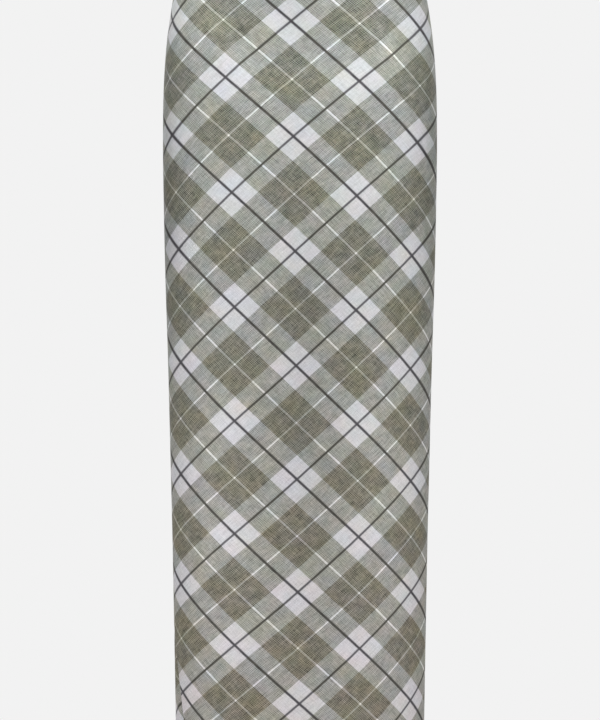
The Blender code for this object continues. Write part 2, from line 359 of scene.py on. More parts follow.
def dart_height(across, up, middle, tip):
    """The pressed groove of a dart and the small pucker at its tip."""
    off = across - middle
    above = np.clip((up - tip) / DART_FADE, 0.0, 1.0)
    total = -DART_GROOVE * above * np.exp(-(off / DART_GROOVE_WIDTH) ** 2)
    total -= DART_SHOULDER * above * np.exp(-(off / DART_SHOULDER_WIDTH) ** 2)
    for height, reach, level, rise in DART_TIP_FORMS:
        total += height * mound(across, up, middle, tip + level, reach, rise)
    return total


def worn_height(side, across, up):
    """How far the worn cloth stands off the even form."""
    total = np.zeros(across.shape)
    total -= SETTLED * ease((BAND_FOOT - up) / SETTLED_RUN)
    for middle, level, reach, rise, height in FRONT_SWELLS if side == FRONT else BACK_SWELLS:
        total += height * mound(across, up, middle, level, reach, rise)
    total += creases_height(side, across, up)
    for dart_side, middle, tip, _ in DARTS:
        if dart_side == side:
            held = DART_HELD * ease((up - DART_HELD_FROM) / DART_HELD_RUN)
            total += dart_height(across, up, middle, tip) * (1.0 - held)
    return total


def check_place(side, across, up, taken_in):
    """Where a place on a panel lies in the check: counts of repeats across the two families of bands."""
    t = (up - CHECK_MIDDLE) / CHECK_SPAN
    if side == BACK:
        across = -across
        taken_in = -taken_in
        v = 0.5 * across / CHECK_REACH
    else:
        v = np.clip(across / CHECK_REACH, -CHECK_REACH_MOST, CHECK_REACH_MOST)
        across = across + 0.001 * sum_terms(SHIFT_ACROSS, v, t)
        up = up + 0.001 * sum_terms(SHIFT_UP, v, t)
        t = (up - CHECK_MIDDLE) / CHECK_SPAN
        v = across / CHECK_REACH
    rows = sum_terms(CHECK_ROWS, v, t)
    spacing = read_table(CHECK_ACROSS, 1, up)
    middle = read_table(CHECK_ACROSS, 2, up)
    columns = (across + taken_in - middle) / spacing
    shift_a, shift_b = BACK_CHECK_SHIFT if side == BACK else (0.0, 0.0)
    return rows - columns / 2 + shift_a, rows + columns / 2 + shift_b


def dart_intake(middle, tip, taken, up):
    """Cloth that a dart has taken in at a height, which the check jumps over."""
    return math.copysign(taken, middle) * np.clip((up - tip) / (BAND_FOOT - tip), 0.0, 1.0)


def deselect_all():
    """Nothing stays selected."""
    for thing in bpy.context.selected_objects:
        thing.select_set(False)


def make_active(thing):
    """Select one piece alone."""
    deselect_all()
    thing.select_set(True)
    bpy.context.view_layer.objects.active = thing


def join(things):
    """Join pieces into the first of them."""
    make_active(things[0])
    for thing in things[1:]:
        thing.select_set(True)
    bpy.ops.object.join()
    return things[0]


def add_object(name, data):
    """A new object in the scene."""
    thing = bpy.data.objects.new(name, data)
    bpy.context.scene.collection.objects.link(thing)
    return thing


def shade_smooth(mesh):
    """Smooth shading all over a mesh."""
    mesh.polygons.foreach_set("use_smooth", np.ones(len(mesh.polygons), dtype=bool))


def apply_modifiers(thing):
    """Apply what a piece's modifiers do to its mesh."""
    make_active(thing)
    for modifier in list(thing.modifiers):
        bpy.ops.object.modifier_apply(modifier=modifier.name)
    thing.select_set(False)


def faces_outward(points, row):
    """Whether the faces of a row, cornered down and then across, face away from the middle of the skirt."""
    start = points[row, :-1]
    facing = np.cross(points[row + 1, :-1] - start, points[row, 1:] - start)
    return np.sum(facing * start * (1.0, 1.0, 0.0)) > 0


def sheet_mesh(name, points, outer_row, places, material, zones=None, kept=None, tone=None):
    """A sheet through rows of points. Each face takes its place in the check from its column's zone."""
    rows, columns = points.shape[:2]
    if kept is None:
        zones = np.zeros(columns - 1, dtype=int)
        kept = np.ones((rows - 1, columns - 1), dtype=bool)
    number = np.arange(rows * columns).reshape(rows, columns)
    corners = np.stack((number[:-1, :-1], number[1:, :-1], number[1:, 1:], number[:-1, 1:]), axis=-1)
    if not faces_outward(points, outer_row):
        corners = corners[..., ::-1]
    zone = np.broadcast_to(zones[None, :], (rows - 1, columns - 1))[kept]
    faces = corners[kept]
    mesh = bpy.data.meshes.new(name)
    mesh.from_pydata(points.reshape(-1, 3).tolist(), [], faces.tolist())
    flat_places = np.stack([np.stack(place, axis=-1).reshape(-1, 2) for place in places])
    layer = mesh.uv_layers.new(name="check")
    layer.data.foreach_set("uv", flat_places[zone[:, None], faces].reshape(-1).astype(np.float32))
    # The painted light and shade goes on the mesh as a point attribute
    if tone is not None:
        painted_light_shade = mesh.attributes.new(name="painted_light_shade", type="FLOAT", domain="POINT")
        painted_light_shade.data.foreach_set("value", tone.reshape(-1).astype(np.float32))
    mesh.materials.append(material)
    shade_smooth(mesh)
    build = bmesh.new()
    build.from_mesh(mesh)
    loose = [vertex for vertex in build.verts if not vertex.link_faces]
    bmesh.ops.delete(build, geom=loose, context="VERTS")
    build.to_mesh(mesh)
    build.free()
    return add_object(name, mesh)


def thicken(thing, thickness):
    """Give a sheet its thickness, behind its outer face."""
    solidify = thing.modifiers.new("Cloth", "SOLIDIFY")
    solidify.thickness = thickness
    solidify.offset = -1.0
    solidify.use_even_offset = False
    apply_modifiers(thing)


def fold_profile():
    """The turn of a folded edge: distance back from the edge, and depth."""
    angles = np.linspace(0.0, math.pi, FOLD_TURNS + 1)
    return FOLD_RADIUS * (1 - np.sin(angles)), FOLD_RADIUS * (1 - np.cos(angles))


def back_reach(heights):
    """How far the back panel reaches forward past the slit's seam line."""
    return (slit_opening(heights) + UNDERLAP) * ease((SLIT_TOP + UNDERLAP_RISE - heights) / UNDERLAP_RISE)


def back_sink(across, heights, half):
    """How far the back panel has sunk under the slit's edge."""
    forward = -half[:, None] - across
    full = slit_opening(heights)[:, None] - SINK_CLEAR
    below = ease((SLIT_TOP + SINK_RISE - heights) / (SINK_RISE - UNDERLAP_RISE))[:, None]
    return SINK * below * ease((forward - full + SINK_RUN) / SINK_RUN)


def panel_edges(side, heights):
    """Where a panel's two folded edges lie at each height."""
    half = seam_distance(side, heights)
    left = -half + SEAM_MARGIN + (slit_opening(heights) if side == FRONT else -back_reach(heights))
    return left, half - SEAM_MARGIN


def inside_panel(side, heights, across, depth):
    """Points at a depth behind a panel's worn face, in rows, each row at its own height."""
    if side == BACK:
        depth = depth + back_sink(across, heights, seam_distance(side, heights))
    up = np.broadcast_to(heights[:, None], across.shape)
    return wall_points(side, heights, across, depth - worn_height(side, across, up))


def columns_between(start, end, spaces):
    """Columns that part the cloth between two columns into equal spaces."""
    return [start + (end - start) * part for part in np.linspace(0, 1, spaces + 1)[1:-1]]


def panel_columns(side, heights):
    """Columns of a panel at each height, with the folded edges and allowances at both ends."""
    left, right = panel_edges(side, heights)
    dart_middles = [middle for dart_side, middle, _, _ in DARTS if dart_side == side]
    back_off, turn_depth = fold_profile()
    beside_dart = [-step for step in DART_STEPS[:0:-1]] + list(DART_STEPS)
    steps = (*ALLOWANCE_STEPS[::-1], *back_off[::-1], *FACE_STEPS)
    end_depths = [*turn_depth] + [TURNED_DEPTH] * len(ALLOWANCE_STEPS)
    columns = [left + step for step in steps]
    for middle, spaces in zip(dart_middles, PANEL_SPACES):
        beside = [np.full(len(heights), middle + step) for step in beside_dart]
        columns += columns_between(columns[-1], beside[0], spaces) + beside
    columns += columns_between(columns[-1], right - FACE_STEPS[-1], PANEL_SPACES[-1])
    columns += [right - step for step in steps[::-1]]
    depths = np.zeros(len(columns))
    depths[:len(end_depths)] = end_depths[::-1]
    depths[-len(end_depths):] = end_depths
    return np.stack(columns, axis=1), depths


def panel_rows():
    """Heights and depths of a panel's rows: down from inside the band, round the hem and up inside."""
    back_off, turn_depth = fold_profile()
    ends = [start for start, _ in ROW_STEPS] + [HEM + back_off[0]]
    parts = []
    for (start, step), end in zip(ROW_STEPS, ends[1:]):
        parts.append(np.linspace(start, end, round((start - end) / step) + 1)[:-1])
    down = np.concatenate((*parts, ends[-1:]))
    up = HEM + np.array(HEM_STEPS)
    heights = np.concatenate((down, HEM + back_off[1:], up))
    depths = np.concatenate((np.zeros(len(down)), turn_depth[1:], np.full(len(up), TURNED_DEPTH)))
    return heights, depths, len(down)


# Painted light and shade: soft patches where the cloth's colour is made paler or darker in place of light
# and shade: distance from centre, height, reaches, change
PAINTED_LIGHT_SHADE_PATCHES = (
    (0.010, -0.600, 0.036, 0.280, -0.095),
    (-0.104, -0.670, 0.034, 0.220, 0.170),
    (0.100, -0.670, 0.034, 0.220, 0.130),
    (0.002, -0.126, 0.032, 0.042, -0.130),
    (-0.044, -0.108, 0.022, 0.020, -0.130),
    (-0.004, -0.262, 0.032, 0.045, -0.080),
    (-0.112, -0.132, 0.024, 0.035, 0.100),
    (-0.084, -0.138, 0.018, 0.024, 0.070),
    (0.113, -0.180, 0.022, 0.040, 0.150),
    (0.076, -0.148, 0.018, 0.028, 0.080),
    (-0.167, -0.330, 0.023, 0.150, -0.320),
    (0.167, -0.310, 0.023, 0.150, -0.280),
    (0.000, -0.430, 0.150, 0.170, -0.048),
    (-0.010, -0.112, 0.024, 0.034, -0.090),
    (-0.080, -0.800, 0.060, 0.110, 0.060),
    (-0.108, -0.128, 0.022, 0.036, 0.090),
    (0.090, -0.128, 0.030, 0.034, 0.080),
    (0.000, -0.192, 0.032, 0.020, 0.100),
)
# Painted highlight on crease ridges and painted shade in crease troughs, by the creases' height
PAINTED_LIGHT_SHADE_ON_CREASES = 60.0


def painted_light_shade_tone(side, points, across, up):
    """How much paler or darker the cloth's colour is painted in place of light and shade: a painted
    highlight on ridges, painted shade in troughs.
    """
    tone = PAINTED_LIGHT_SHADE_ON_CREASES * creases_height(side, across, up)
    for middle, level, reach, rise, change in PAINTED_LIGHT_SHADE_PATCHES:
        tone += change * mound(points[..., 0], up, middle, level, reach, rise)
    return tone


def build_panel(name, side, cloth):
    """A panel with its darts, its allowances turned back at the seams and its hem turned up."""
    heights, row_depths, down_rows = panel_rows()
    across, column_depths = panel_columns(side, heights)
    up = np.broadcast_to(heights[:, None], across.shape)
    pressed = 1.0 - PRESSED * ease((heights - BAND_FOOT + PRESSED_FROM) / PRESSED_RUN)
    depth = np.maximum(row_depths[:, None], column_depths[None, :] * pressed[:, None])
    turned_end = FOLD_TURNS + 1 + len(ALLOWANCE_STEPS)
    column = np.arange(across.shape[1] - 1)
    past_edge = FOLD_TURNS // 2
    outside = (column < turned_end - 1 - past_edge) | (column >= across.shape[1] - turned_end + past_edge)
    row = np.arange(len(heights) - 1)
    under_hem = heights[1:] < HEM + HEM_TURN + ALLOWANCE_ABOVE_HEM
    kept = ~(outside[None, :] & under_hem[:, None])
    kept[row >= down_rows - 1] = ~outside[None, :]
    points = inside_panel(side, heights, across, depth)
    darts = [dart for dart in DARTS if dart[0] == side]
    places = [check_place(side, across, up, 0.0)]
    zones = np.zeros(len(column), dtype=int)
    middle_across = across[down_rows // 2]
    for number, (_, middle, tip, taken) in enumerate(darts, start=1):
        places.append(check_place(side, across, up, dart_intake(middle, tip, taken, up)))
        beyond = middle_across[:-1] > middle - 1e-6 if middle > 0 else middle_across[1:] < middle + 1e-6
        zones[beyond] = number
    # Painted light and shade for the panel's colour: painted highlights and painted shade over its form and
    # creases
    tone = painted_light_shade_tone(side, points, across, up)
    panel = sheet_mesh(name, points, down_rows // 2, places, cloth, zones, kept, tone)
    thicken(panel, CLOTH)
    return join([panel] + [build_dart_fold(*dart, cloth) for dart in darts])


# Sewing thread
THREAD_REACH = 0.00014
THREAD_CLEAR = 0.00016
OVERLOCK_PITCH = 0.0030
OVERLOCK_WIDTH = 0.0038
OVER_EDGE = 0.00020
OVERLOCK_DEPTHS = (TURNED_DEPTH - CLOTH / 2, TURNED_DEPTH + THREAD_CLEAR)
OVERLOCK_ABOVE_HEM = 0.006
OVERLOCK_INSET = 0.002
STITCH = 0.0023
STITCH_PITCH = 0.0028
BAND_STITCHED_AT = BAND_FOOT + 0.0022
BAND_SEWN_FROM_SEAM = ALLOWANCE + 0.001
TAPE_STITCHED_AT = 0.0085
ZIP_SEWN_TO = -0.206

# A slanting hem stitch: its three points' heights from the edge, and steps across
HEM_STITCH_PITCH = 0.0090
HEM_STITCH_INSET = 0.010
HEM_STITCH_HEIGHTS = (-0.0046, 0.0004, 0.0018)
HEM_STITCH_STEPS = (0.0, 0.0011, 0.0015)


def thread_mesh(name, runs, thread):
    """Sewing thread along runs of points, each run a fine tube with closed ends."""
    corners = []
    faces = []
    first = 0
    for run in runs:
        along = np.gradient(run, axis=0)
        outward = run * (1.0, 1.0, 0.0)
        beside = np.cross(along, outward)
        beside /= np.linalg.norm(beside, axis=1, keepdims=True)
        over = np.cross(beside, along)
        over /= np.linalg.norm(over, axis=1, keepdims=True)
        ring = np.stack((beside + over, over - beside, -beside - over, beside - over), axis=1)
        corners.append((run[:, None] + ring * THREAD_REACH).reshape(-1, 3))
        number = first + np.arange(len(run) * 4).reshape(-1, 4)
        after = np.roll(number, -1, axis=1)
        faces += np.stack((number[:-1], number[1:], after[1:], after[:-1]), axis=-1).reshape(-1, 4).tolist()
        faces += [number[0].tolist(), number[-1, ::-1].tolist()]
        first += len(run) * 4
    mesh = bpy.data.meshes.new(name)
    mesh.from_pydata(np.concatenate(corners).tolist(), [], faces)
    build = bmesh.new()
    build.from_mesh(mesh)
    bmesh.ops.recalc_face_normals(build, faces=build.faces)
    build.to_mesh(mesh)
    build.free()
    mesh.materials.append(thread)
    shade_smooth(mesh)
    return add_object(name, mesh)


def looped_runs(over_edge, beside_edge):
    """An overlock's looped thread, to and fro over an edge, and the straight one beside the edge."""
    looped = beside_edge.copy()
    looped[1::2] = over_edge[1::2]
    return [looped, beside_edge[::2]]


def overlock_side(side, way, top):
    """Overlock along the raw edge of a panel's allowance, the left one with way 1, the right one with -1."""
    foot = HEM + HEM_TURN + OVERLOCK_ABOVE_HEM
    heights = np.linspace(top, foot, 2 * round((top - foot) / OVERLOCK_PITCH) + 1)
    edge = panel_edges(side, heights)[0 if way > 0 else 1] + way * ALLOWANCE
    across = np.stack((edge + way * OVER_EDGE, edge - way * OVERLOCK_WIDTH), axis=1)
    points = inside_panel(side, heights, across, np.broadcast_to(OVERLOCK_DEPTHS, across.shape))
    return looped_runs(points[:, 0], points[:, 1])


def overlock_panel(side):
    """Overlock along both allowances of a panel, on the zip's side only below the zip."""
    return overlock_side(side, 1, BAND_FOOT) + overlock_side(side, -1, ZIP_SEWN_TO)


def level_points(points_at, side, heights, across, depths):
    """Points in rows at a few heights, each row at its own depth."""
    return points_at(side, heights, across, np.broadcast_to(np.array(depths)[:, None], across.shape))


def overlock_hem(side):
    """Overlock along the turned-up hem, and the slanting stitches that hold it to the panel."""
    edge = HEM + HEM_TURN
    heights = np.array((edge + OVER_EDGE, edge - OVERLOCK_WIDTH))
    left_edge, right_edge = panel_edges(side, heights)
    left = np.max(left_edge)
    right = np.min(right_edge)
    count = 2 * round((right - left) / OVERLOCK_PITCH) + 1
    across = np.broadcast_to(np.linspace(left + OVERLOCK_INSET, right - OVERLOCK_INSET, count), (2, count))
    points = level_points(inside_panel, side, heights, across, OVERLOCK_DEPTHS)
    runs = looped_runs(points[0], points[1])
    heights = edge + np.array(HEM_STITCH_HEIGHTS)
    starts = np.arange(left + HEM_STITCH_INSET, right - HEM_STITCH_INSET, HEM_STITCH_PITCH)
    across = starts[None, :] + np.array(HEM_STITCH_STEPS)[:, None]
    depths = (TURNED_DEPTH + THREAD_CLEAR, TURNED_DEPTH, CLOTH + THREAD_CLEAR)
    points = level_points(inside_panel, side, heights, across, depths)
    return runs + [points[:, number] for number in range(points.shape[1])]


def waistband_stitches(side):
    """Overlock on the band's inner edge, and the straight stitches through it in the seam at its foot."""
    edge = BAND_FOOT - BAND_OVERHANG
    heights = np.array((edge - OVER_EDGE, edge + OVERLOCK_WIDTH))
    half = np.min(seam_distance(side, heights))
    ends = (-half, half - BAND_SEWN_FROM_SEAM)
    count = 2 * round((ends[1] - ends[0]) / OVERLOCK_PITCH) + 1
    across = np.broadcast_to(np.linspace(*ends, count), (2, count))
    depths = (BAND_INSIDE - BAND_CLOTH / 2, BAND_INSIDE + THREAD_CLEAR)
    points = level_points(wall_points, side, heights, across, depths)
    runs = looped_runs(points[0], points[1])
    starts = np.arange(*ends, STITCH_PITCH)
    across = np.stack((starts, starts + STITCH), axis=1).reshape(1, -1)
    heights = np.array((BAND_STITCHED_AT,))
    points = level_points(wall_points, side, heights, across, (BAND_INSIDE + THREAD_CLEAR / 2,))
    return runs + list(points.reshape(-1, 2, 3))


def zip_stitches(side):
    """Straight stitches that hold a zip tape to the allowance behind it."""
    starts = np.arange(*TAPE_STITCHED, -STITCH_PITCH)
    heights = np.stack((starts, starts - STITCH), axis=1).reshape(-1)
    across = seam_distance(side, heights)[:, None] - TAPE_FROM_SEAM - TAPE_STITCHED_AT
    depth = np.full(across.shape, TAPE_DEPTH + TAPE_CLOTH + THREAD_CLEAR / 2)
    return list(inside_panel(side, heights, across, depth).reshape(-1, 2, 3))


# Dart folds inside: where the folded cloth lies behind the panel, how thick it is, the shares of its width
# at its columns, and how far each of them and its upper end are pressed towards the panel
DART_FOLD_DEPTH = 0.0008
DART_FOLD_CLOTH = 0.0013
DART_FOLD_TOP = BAND_FOOT - 0.0035
DART_FOLD_FROM_TIP = 0.006
DART_FOLD_ROWS = 26
DART_FOLD_SHARES = (0.0, 0.35, 0.70, 0.93, 1.0)
DART_FOLD_ROUNDED = (0.0, 0.0, 0.0, 0.0001, 0.0004)
DART_FOLD_PRESSED = 0.0006
DART_FOLD_PRESSED_RUN = 0.006


def build_dart_fold(side, middle, tip, taken, cloth):
    """The cloth that a dart takes in, pressed flat inside the panel towards its centre."""
    heights = np.linspace(DART_FOLD_TOP, tip + DART_FOLD_FROM_TIP, DART_FOLD_ROWS)
    width = taken / 2 * (heights - tip) / (BAND_FOOT - tip)
    across = middle - math.copysign(1.0, middle) * width[:, None] * np.array(DART_FOLD_SHARES)[None, :]
    pressed = ease((heights - DART_FOLD_TOP + DART_FOLD_PRESSED_RUN) / DART_FOLD_PRESSED_RUN)
    depth = DART_FOLD_DEPTH - np.array(DART_FOLD_ROUNDED)[None, :] - DART_FOLD_PRESSED * pressed[:, None]
    points = inside_panel(side, heights, across, depth)
    up = np.broadcast_to(heights[:, None], across.shape)
    places = [check_place(side, 2 * middle - across, up, 0.0)]
    fold = sheet_mesh("dart_fold", points, 0, places, cloth)
    thicken(fold, DART_FOLD_CLOTH)
    return fold


# Waistband
BAND_CLOTH = 0.0005
BAND_TOP_CURVE = 0.00135
BAND_PROUD = 0.0012
BAND_INSIDE = 0.0015
BAND_FOOT_CURVE = 0.00054
BAND_OVERHANG = 0.0030
BAND_MIDDLE = (BAND_INSIDE - BAND_PROUD) / 2
BAND_LIP = (0.007, 0.004, 0.0018, BAND_FOOT_CURVE)
BAND_OUTSIDE = (BAND_FOOT + 0.003, -0.003)
BAND_LINING = (-0.004, BAND_FOOT - BAND_OVERHANG)
BAND_ROWS = 9
BAND_OUTER_ROW = 14
BAND_SPACES = 96

# The band's ends at the zip: gap to the seam, steps of the first columns, and how flat they are squeezed
BAND_END = 0.0010
BAND_END_STEPS = (0.0, 0.0004, 0.0010, 0.0022)
BAND_END_SQUEEZE = (0.35, 0.78, 0.95)

# The band is a straight strip cut on the bias, its foot stretched to the hip: its length, the lengths of a
# repeat along it, and the counts at its start
BAND_LENGTH = 0.735
BAND_REPEATS = (0.1400, 0.1455)
BAND_STARTS = (0.21, 0.36)


def band_profile():
    """Depths and heights of the waistband's sheet, from the lip turned in at its foot to its inner edge."""
    lip = BAND_FOOT_CURVE * 2 - BAND_PROUD
    profile = [(lip, BAND_FOOT + height) for height in BAND_LIP]
    for angle in np.linspace(0, math.pi, FOLD_TURNS + 1)[1:]:
        profile.append((lip - BAND_FOOT_CURVE + BAND_FOOT_CURVE * math.cos(angle),
                        BAND_FOOT + BAND_FOOT_CURVE * (1 - math.sin(angle))))
    for height in np.linspace(*BAND_OUTSIDE, BAND_ROWS):
        profile.append((-BAND_PROUD, float(height)))
    for angle in np.linspace(0, math.pi, BAND_ROWS):
        profile.append((BAND_MIDDLE - BAND_TOP_CURVE * math.cos(angle),
                        -BAND_TOP_CURVE * (1 - math.sin(angle))))
    for height in np.linspace(*BAND_LINING, BAND_ROWS):
        profile.append((BAND_INSIDE, float(height)))
    return profile


def band_wave(walked, height):
    """Slight unevenness of the band's cloth."""
    return 0.00012 * np.sin(walked * 61.0 + 1.3) * (0.4 + 0.6 * np.sin(height * 90.0))


def build_waistband(cloth):
    """The band of doubled cloth round the waist, open at the zip, with closed ends."""
    profile = band_profile()
    heights = np.array([height for _, height in profile])
    depths = np.array([depth for depth, _ in profile])
    halves = []
    distances = []
    for side in (FRONT, BACK):
        half = seam_distance(side, heights)
        columns = [half - BAND_END - step for step in BAND_END_STEPS]
        columns += columns_between(columns[-1], -half, BAND_SPACES) + [-half]
        across = np.stack(columns, axis=1)
        squeeze = np.ones(across.shape[1])
        squeeze[:len(BAND_END_SQUEEZE)] = BAND_END_SQUEEZE
        depth = BAND_MIDDLE + (depths[:, None] - BAND_MIDDLE) * squeeze[None, :]
        walked = half[:, None] - across
        depth = depth + band_wave(walked, heights[:, None]) * (squeeze[None, :] == 1.0)
        halves.append(wall_points(side, heights, across, depth))
        distances.append(walked)
    points = np.concatenate((halves[0], halves[1][:, -2::-1]), axis=1)
    total = distances[0][:, -1:]
    walked = np.concatenate((distances[0], 2 * total - distances[1][:, -2::-1]), axis=1)
    run = np.concatenate(((0.0,), np.cumsum(np.hypot(np.diff(depths), np.diff(heights)))))[:, None]
    along = walked * BAND_LENGTH / walked[:, -1:]
    ways = (along + run, along - run)
    places = [[way / repeat + start for way, repeat, start in zip(ways, BAND_REPEATS, BAND_STARTS)]]
    band = sheet_mesh("waistband_folded", points, BAND_OUTER_ROW, places, cloth)
    thicken(band, BAND_CLOTH)
    return band


# Zip
ZIP_TOP = -0.002
ZIP_FOOT = -0.2015
TAPE_STITCHED = (BAND_FOOT - BAND_OVERHANG - 0.002, ZIP_FOOT + 0.003)
TAPE_FROM_SEAM = 0.0009
TAPE_APART = 0.00003
TAPES_MEET = -0.0175
TAPES_MEET_RUN = 0.003
TAPE_WIDTH = 0.0107
TAPE_ROWS = 84
TAPE_STEPS = (0.0, 0.0005, 0.0012, 0.0030, 0.0060, 0.0085, 0.0101, TAPE_WIDTH)
TAPE_RAISED = (0.0004, 0.0002, 0.0, 0.0, 0.0, 0.0, 0.0, 0.0)
TAPE_RIPPLE = (0.00010, 310.0)
TAPE_DEPTH = 0.00185
TAPE_CLOTH = 0.0006
TOOTH_PITCH = 0.0012
COIL_TOP = -0.0162
COIL_FIRST_TURN = 0.0005
COIL_FROM_SEAM = 0.00395
COIL_LEAN_RUN = 0.001
TOOTH_RADIUS = 0.00040
TOOTH_LENGTH = 0.0030
TOOTH_HEAD = 0.0006
TOOTH_APART = 0.00025


def build_tape(name, side, tape):
    """A woven tape behind a panel's edge, a little thicker along the teeth."""
    heights = np.linspace(ZIP_TOP, ZIP_FOOT, TAPE_ROWS)
    steps = TAPE_FROM_SEAM + np.array(TAPE_STEPS)
    half = seam_distance(side, heights)
    meeting = (TAPE_FROM_SEAM - TAPE_APART) * ease((TAPES_MEET - heights) / TAPES_MEET_RUN)
    across = half[:, None] - steps[None, :] + meeting[:, None] * (steps == TAPE_FROM_SEAM)
    rise, turns = TAPE_RIPPLE
    ripple = rise * np.sin(heights * turns)[:, None] * np.linspace(0, 1, len(steps))[None, :]
    depth = TAPE_DEPTH + np.array(TAPE_RAISED)[None, :] + ripple
    up = np.broadcast_to(heights[:, None], across.shape)
    points = wall_points(side, heights, across, depth - worn_height(side, across, up) * (up < BAND_FOOT))
    places = [(np.broadcast_to(steps[None, :], up.shape) / 0.01, up / 0.01)]
    strip = sheet_mesh(name, points, TAPE_ROWS // 2, places, tape)
    thicken(strip, TAPE_CLOTH)
    return strip


def build_tooth(plastic):
    """One turn of the coil, seen from behind a rounded bar with a thicker head."""
    deselect_all()
    bpy.ops.mesh.primitive_cylinder_add(vertices=8, radius=TOOTH_RADIUS, depth=TOOTH_LENGTH,
                                        rotation=(math.pi / 2, 0, 0))
    tooth = bpy.context.object
    bpy.ops.object.transform_apply(location=True, rotation=True, scale=True)
    bpy.ops.object.mode_set(mode="EDIT")
    bpy.ops.mesh.select_all(action="SELECT")
    bpy.ops.mesh.bisect(plane_co=(0, TOOTH_HEAD, 0), plane_no=(0, 1, 0))
    bpy.ops.object.mode_set(mode="OBJECT")
    for vertex in tooth.data.vertices:
        vertex.select = vertex.co.y > TOOTH_HEAD - 0.0001
    bpy.ops.object.mode_set(mode="EDIT")
    bpy.ops.transform.resize(value=(1.35, 1.0, 1.3))
    bpy.ops.object.mode_set(mode="OBJECT")
    bevel = tooth.modifiers.new("Rounding", "BEVEL")
    bevel.width = 0.00015
    bevel.segments = 1
    apply_modifiers(tooth)
    tooth.data.materials.append(plastic)
    shade_smooth(tooth.data)
    return tooth


def build_coil(plastic):
    """The closed coil: turns from both sides that meet in the middle, down to the zip's end."""
    first = build_tooth(plastic)
    count = int((COIL_TOP - ZIP_FOOT) / TOOTH_PITCH)
    turns = []
    for number in range(count):
        height = COIL_TOP - COIL_FIRST_TURN - number * TOOTH_PITCH
        width, lower = read_table(LEVELS, HALF_WIDTH, np.array((height, height - COIL_LEAN_RUN)))
        turn = first.copy()
        turn.data = first.data.copy()
        bpy.context.scene.collection.objects.link(turn)
        flip = Matrix.Rotation(math.pi if number % 2 else 0.0, 4, "X")
        lean = Matrix.Rotation(-math.atan((lower - width) / COIL_LEAN_RUN), 4, "Y")
        offset = TOOTH_APART if number % 2 else -TOOTH_APART
        place = Matrix.Translation((width - COIL_FROM_SEAM, offset, height))
        turn.data.transform(place @ lean @ flip)
        turns.append(turn)
    bpy.data.objects.remove(first, do_unlink=True)
    coil = join(turns)
    coil.name = "zip_coil_turns"
    coil.data.name = "zip_coil_turns"
    return coil


def number_or_link(tree, socket, value):
    """Set a socket's value, or link another socket to it."""
    if isinstance(value, bpy.types.NodeSocket):
        tree.links.new(value, socket)
    else:
        socket.default_value = value


def calc(tree, operation, *values, clamp=False):
    """A Math node."""
    node = tree.nodes.new("ShaderNodeMath")
    node.operation = operation
    node.use_clamp = clamp
    for socket, value in zip(node.inputs, values):
        number_or_link(tree, socket, value)
    return node.outputs[0]


def within(tree, distance, reach, softness):
    """1 where a distance is inside a reach, with a soft edge."""
    node = tree.nodes.new("ShaderNodeMapRange")
    node.interpolation_type = "SMOOTHSTEP"
    number_or_link(tree, node.inputs["Value"], distance)
    node.inputs["From Min"].default_value = reach - softness
    node.inputs["From Max"].default_value = reach + softness
    node.inputs["To Min"].default_value = 1.0
    node.inputs["To Max"].default_value = 0.0
    return node.outputs["Result"]


def blend_colours(tree, share, first, second, way="MIX"):
    """A Mix node for colours."""
    node = tree.nodes.new("ShaderNodeMix")
    node.data_type = "RGBA"
    node.blend_type = way
    number_or_link(tree, node.inputs[0], share)
    number_or_link(tree, node.inputs[6], first)
    number_or_link(tree, node.inputs[7], second)
    return node.outputs[2]


def times_colour(tree, first, second):
    """The product of two colours."""
    return blend_colours(tree, 1.0, first, second, "MULTIPLY")


def brighten(tree, colour, factor):
    """A colour made brighter or darker by a factor."""
    return times_colour(tree, colour, combine(tree, factor, factor, factor))


def about_zero(tree, value):
    """A noise value moved from about 0.5 to about 0."""
    return calc(tree, "SUBTRACT", value, 0.5)


def split_vector(tree, vector):
    """The three numbers of a vector."""
    node = tree.nodes.new("ShaderNodeSeparateXYZ")
    tree.links.new(vector, node.inputs[0])
    return node.outputs


def combine(tree, x, y, z):
    """A vector of three numbers."""
    node = tree.nodes.new("ShaderNodeCombineXYZ")
    for socket, value in zip(node.inputs, (x, y, z)):
        number_or_link(tree, socket, value)
    return node.outputs[0]


def noise(tree, vector, scale, detail, roughness=0.5):
    """A Noise node's value, about 0.5."""
    node = tree.nodes.new("ShaderNodeTexNoise")
    tree.links.new(vector, node.inputs["Vector"])
    node.inputs["Scale"].default_value = scale
    node.inputs["Detail"].default_value = detail
    node.inputs["Roughness"].default_value = roughness
    return node.outputs[0]


def object_place(tree):
    """A piece's own coordinates."""
    return tree.nodes.new("ShaderNodeTexCoord").outputs["Object"]


def sheet_place(tree):
    """A place on a sheet, as counts of its pattern."""
    node = tree.nodes.new("ShaderNodeUVMap")
    node.uv_map = "check"
    return node.outputs[0]


def new_material(name, roughness):
    """A material with a Principled shader, and its tree and shader."""
    material = bpy.data.materials.new(name)
    material.use_nodes = True
    shader = material.node_tree.nodes["Principled BSDF"]
    shader.inputs["Roughness"].default_value = roughness
    return material, material.node_tree, shader


def colour_shader(tree, shader, share, first, second):
    """The shader's colour goes from one colour to another."""
    tree.links.new(blend_colours(tree, share, first, second), shader.inputs["Base Color"])


def add_bump(tree, shader, height, strength, distance):
    """A Bump node on the shader."""
    node = tree.nodes.new("ShaderNodeBump")
    node.inputs["Strength"].default_value = strength
    node.inputs["Distance"].default_value = distance
    tree.links.new(height, node.inputs["Height"])
    tree.links.new(node.outputs[0], shader.inputs["Normal"])


